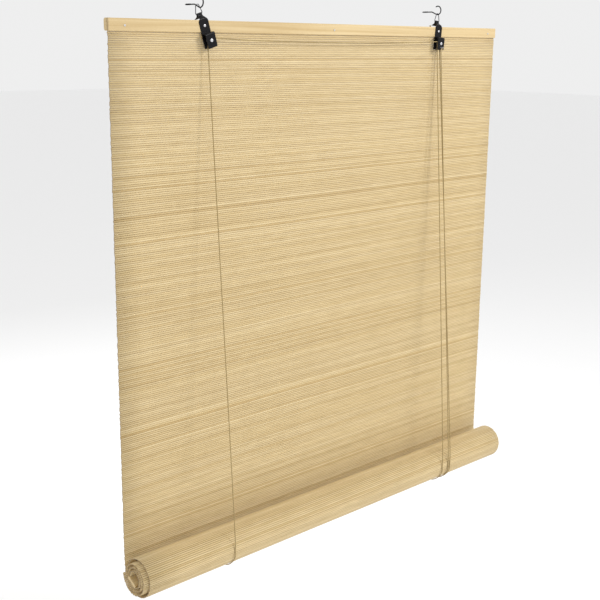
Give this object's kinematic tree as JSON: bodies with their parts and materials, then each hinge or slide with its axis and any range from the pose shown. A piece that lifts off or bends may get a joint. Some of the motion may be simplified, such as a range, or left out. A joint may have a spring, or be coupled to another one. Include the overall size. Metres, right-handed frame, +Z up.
{
  "type": "bamboo roll up blind",
  "caption": "Woven bamboo blind that rolls up from the bottom on cords, hung from a wooden head rail on ring brackets and screw hooks, with a cord lock.",
  "frame": {"origin": "middle of the head rail's back face, where it meets the wall", "axes": "+X along the rail to the cord lock side, +Y towards the wall, +Z up"},
  "size_m": [1.009, 0.1244, 1.0374],
  "materials": {
    "bamboo_sheet": "matt split bamboo sticks",
    "pale_wood": "planed pale wood",
    "black_steel": "gloss black paint",
    "bright_steel": "bright zinc",
    "wheel_plastic": "moulded",
    "lift_cord": "braided cord"
  },
  "bodies": {
    "root": {"head_rail_back_slat": "pale_wood", "head_rail_front_slat": "pale_wood", "rail_nails": "bright_steel", "woven_sheet_hanging": "bamboo_sheet", "bracket_left": "black_steel", "bracket_right": "black_steel", "strap_screw_left": "bright_steel", "strap_screw_right": "bright_steel", "axle_rivet_left": "bright_steel", "axle_rivet_right": "bright_steel", "pulley_cage_left": "black_steel", "cord_lock_cage_right": "black_steel", "cord_lock_pin": "bright_steel", "transfer_cord": "lift_cord", "right_cord_over_wheel": "lift_cord", "left_cord_front": "lift_cord", "right_cord_front": "lift_cord", "left_cord_back": "lift_cord", "right_cord_back": "lift_cord", "pull_cord_inner": "lift_cord", "pull_cord_outer": "lift_cord"},
    "left_hook": {"hanging_ring_left": "bright_steel", "screw_hook_left": "black_steel"},
    "right_hook": {"hanging_ring_right": "bright_steel", "screw_hook_right": "black_steel"},
    "left_wheel": {"pulley_wheel_left": "wheel_plastic"},
    "right_wheel": {"pulley_wheel_right": "wheel_plastic"},
    "lock": {"cord_lock_roller": "bright_steel"},
    "cord_loops": {"left_cord_under_roll": "lift_cord", "right_cord_under_roll": "lift_cord"},
    "roll": {"woven_sheet_roll": "bamboo_sheet", "bottom_slat": "pale_wood"},
    "pull_knot": {"pull_cord_knot": "lift_cord"}
  },
  "joints": [
    {"name": "roll_rise", "type": "slide", "parent": "root", "child": "cord_loops", "axis": [0, 0, 1], "range_m": [-0.5466, 0.82], "deforming": ["woven_sheet_hanging", "left_cord_back", "right_cord_back", "left_cord_front", "right_cord_front", "pull_cord_inner", "pull_cord_outer"]},
    {"name": "roll_turn", "type": "hinge", "parent": "cord_loops", "child": "roll", "pos_m": [0, -0.0491, -0.9431], "axis": [1, 0, 0], "range_deg": [-1080, 720]},
    {"name": "left_ring_swing", "type": "hinge", "parent": "root", "child": "left_hook", "pos_m": [-0.31549, -0.007, 0.02033], "axis": [0.9613, 0, 0.2756], "range_deg": [-30, 45]},
    {"name": "right_ring_swing", "type": "hinge", "parent": "root", "child": "right_hook", "pos_m": [0.30708, -0.007, 0.02099], "axis": [0.9945, 0, -0.1045], "range_deg": [-30, 45]},
    {"name": "left_wheel_spin", "type": "hinge", "parent": "root", "child": "left_wheel", "pos_m": [-0.30311, -0.02, -0.02283], "axis": [0, 1, 0], "continuous": true},
    {"name": "right_wheel_spin", "type": "hinge", "parent": "root", "child": "right_wheel", "pos_m": [0.30239, -0.02, -0.02366], "axis": [0, 1, 0], "continuous": true},
    {"name": "knot_follow", "type": "slide", "parent": "root", "child": "pull_knot", "axis": [0, 0, 1], "range_m": [-0.311, 0.4665]},
    {"name": "lock_slide", "type": "slide", "parent": "root", "child": "lock", "axis": [-0.359, 0, -0.9333], "range_m": [0, 0.00278]}
  ],
  "couplings": [
    {"joint": "roll_turn", "follows": "roll_rise", "rad_per_m": -22.98},
    {"joint": "left_wheel_spin", "follows": "roll_rise", "rad_per_m": 500},
    {"joint": "right_wheel_spin", "follows": "roll_rise", "rad_per_m": 500},
    {"joint": "knot_follow", "follows": "roll_rise", "ratio": 0.5687}
  ]
}
